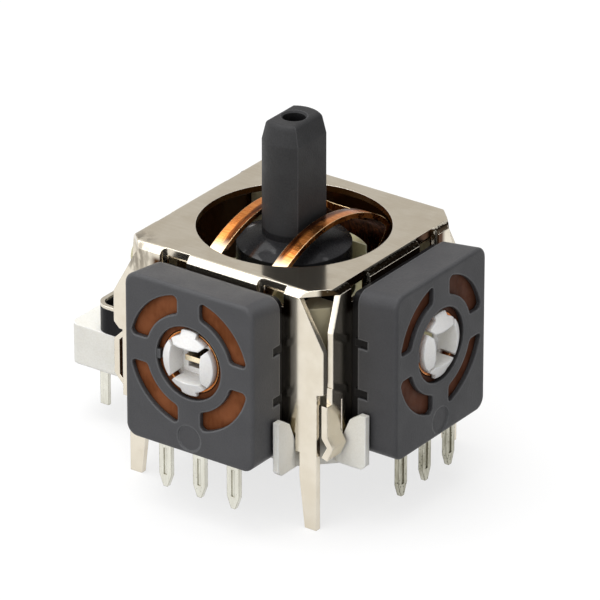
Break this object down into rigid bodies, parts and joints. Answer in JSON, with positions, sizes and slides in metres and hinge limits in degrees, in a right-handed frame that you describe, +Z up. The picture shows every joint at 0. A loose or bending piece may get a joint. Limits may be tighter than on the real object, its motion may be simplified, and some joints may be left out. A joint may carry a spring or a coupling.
{
  "type": "two-axis thumbstick module",
  "caption": "Board-mounted thumbstick module: folded metal frame, two rotary potentiometers, slotted arch, cross rocker, sprung double-D stick and a push switch.",
  "frame": {"origin": "on the stick's axis, on the underside of the base, which rests on the circuit board", "axes": "+Z up along the stick at rest, potentiometer A faces -Y, potentiometer B faces +X, the push switch is on the -X side"},
  "size_m": [0.026, 0.019, 0.0229],
  "materials": {
    "nickel_steel": "nickel-plated sheet, satin with fine rolling lines",
    "white_plastic": "moulded, satin",
    "stick_grey": "dark grey moulding, satin shaft and glossy collar",
    "copper_alloy": "copper-coloured stamped strip with striated cut edges",
    "cream_plastic": "cream moulding",
    "grey_plastic": "mid grey moulding, fine matt",
    "black_plastic": "black moulding",
    "phenolic": "brown phenolic paper laminate",
    "rotor_white": "white moulding, smooth",
    "wiper_copper": "thin copper alloy spring sheet",
    "tinned_terminal": "tin-plated blade",
    "spring_steel": "drawn wire"
  },
  "bodies": {
    "housing": {"frame_shell": "nickel_steel", "base": "white_plastic", "pot_a_cover": "grey_plastic", "pot_a_back": "black_plastic", "pot_a_track_plate": "phenolic", "pot_a_terminal_1": "tinned_terminal", "pot_a_terminal_2": "tinned_terminal", "pot_a_terminal_3": "tinned_terminal", "pot_b_cover": "grey_plastic", "pot_b_back": "black_plastic", "pot_b_track_plate": "phenolic", "pot_b_terminal_1": "tinned_terminal", "pot_b_terminal_2": "tinned_terminal", "pot_b_terminal_3": "tinned_terminal", "switch_housing": "white_plastic", "switch_cover": "black_plastic", "switch_strap": "nickel_steel", "snap_dome": "spring_steel", "switch_terminal_1": "tinned_terminal", "switch_terminal_2": "tinned_terminal"},
    "rotor_b": {"pot_b_rotor": "rotor_white", "pot_b_wiper": "wiper_copper"},
    "rocker": {"cross_rocker": "cream_plastic"},
    "lever": {"stick": "stick_grey", "return_spring": "spring_steel"},
    "foot": {"centring_foot": "white_plastic"},
    "arch": {"arch_rocker": "copper_alloy", "pot_a_rotor": "rotor_white", "pot_a_wiper": "wiper_copper"},
    "plunger": {"switch_plunger": "black_plastic"}
  },
  "joints": [
    {"name": "rocker_roll", "type": "hinge", "parent": "housing", "child": "rotor_b", "pos_m": [0.0085, 0, 0.00705], "axis": [1, 0, 0], "range_deg": [-20, 20], "stiffness_Nm_per_rad": 0.02},
    {"name": "press", "type": "hinge", "parent": "rotor_b", "child": "rocker", "pos_m": [0.0082, 0, 0.00705], "axis": [0, -1, 0], "range_deg": [0, 1.3], "stiffness_Nm_per_rad": 0.2, "springref_deg": -1.15},
    {"name": "stick_tilt", "type": "hinge", "parent": "rocker", "child": "lever", "pos_m": [0, 0, 0.00705], "axis": [0, 1, 0], "range_deg": [-20, 20], "stiffness_Nm_per_rad": 0.02},
    {"name": "foot_slide", "type": "slide", "parent": "lever", "child": "foot", "axis": [0, 0, 1], "range_m": [0, 0.0008], "stiffness_N_per_m": 400, "springref_m": -0.001, "deforming": ["return_spring"]},
    {"name": "arch_roll", "type": "hinge", "parent": "housing", "child": "arch", "pos_m": [0, -0.0085, 0.00705], "axis": [0, 1, 0], "range_deg": [-20, 20]},
    {"name": "plunger_slide", "type": "slide", "parent": "housing", "child": "plunger", "axis": [0, 0, -1], "range_m": [0, 0.0005], "deforming": ["snap_dome"]}
  ],
  "couplings": [
    {"joint": "arch_roll", "follows": "stick_tilt", "ratio": 1},
    {"joint": "plunger_slide", "follows": "press", "m_per_rad": 0.0188}
  ]
}
